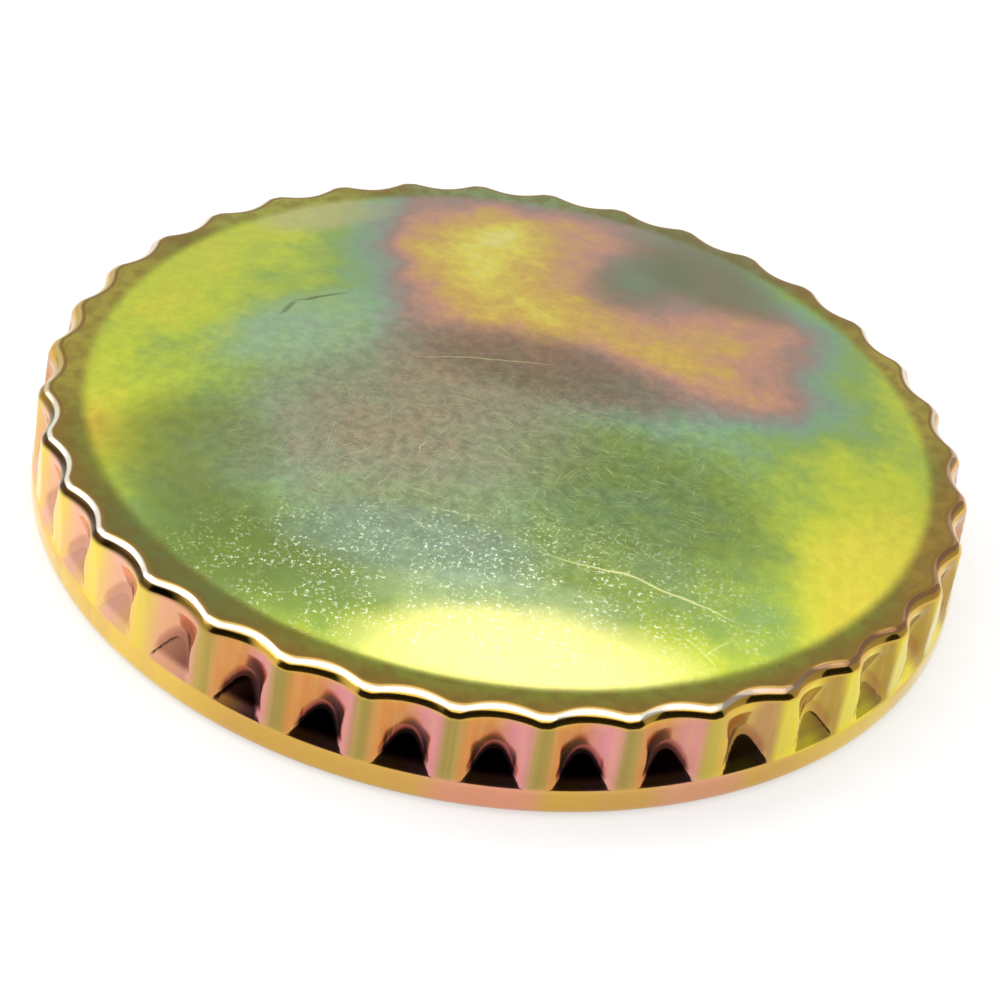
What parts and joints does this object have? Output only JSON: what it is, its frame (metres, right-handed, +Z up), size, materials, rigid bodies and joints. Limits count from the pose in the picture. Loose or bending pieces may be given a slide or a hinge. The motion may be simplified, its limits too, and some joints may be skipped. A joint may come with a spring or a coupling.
{
  "type": "fuel cap",
  "caption": "Round pressed steel fuel cap with a shallow dome, fluted skirt and hemmed lip; a gasket and a sprung bayonet strip underneath hold it on a filler neck.",
  "frame": {"origin": "centre of the cap's axis on the plane that the lip rests on", "axes": "+Z up along the cap's axis, out through the dome; +X along the bayonet strip"},
  "size_m": [0.0662, 0.0662, 0.01],
  "materials": {
    "yellow_zinc_steel": "zinc plated and yellow passivated, iridescent from lime to gold, pink and teal",
    "nitrile_rubber": "moulded black nitrile rubber, matt",
    "cup_zinc_steel": "drawn steel, zinc plated and yellow passivated",
    "breather_felt": "pressed grey felt",
    "spring_steel": "rolled spring steel, clear zinc",
    "rivet_steel": "bright zinc plated steel"
  },
  "bodies": {
    "root": {"cap_shell": "yellow_zinc_steel", "gasket": "nitrile_rubber", "retainer_cup": "cup_zinc_steel", "breather_pad": "breather_felt", "bayonet_spring": "spring_steel", "vent_rivet": "rivet_steel"}
  },
  "joints": []
}
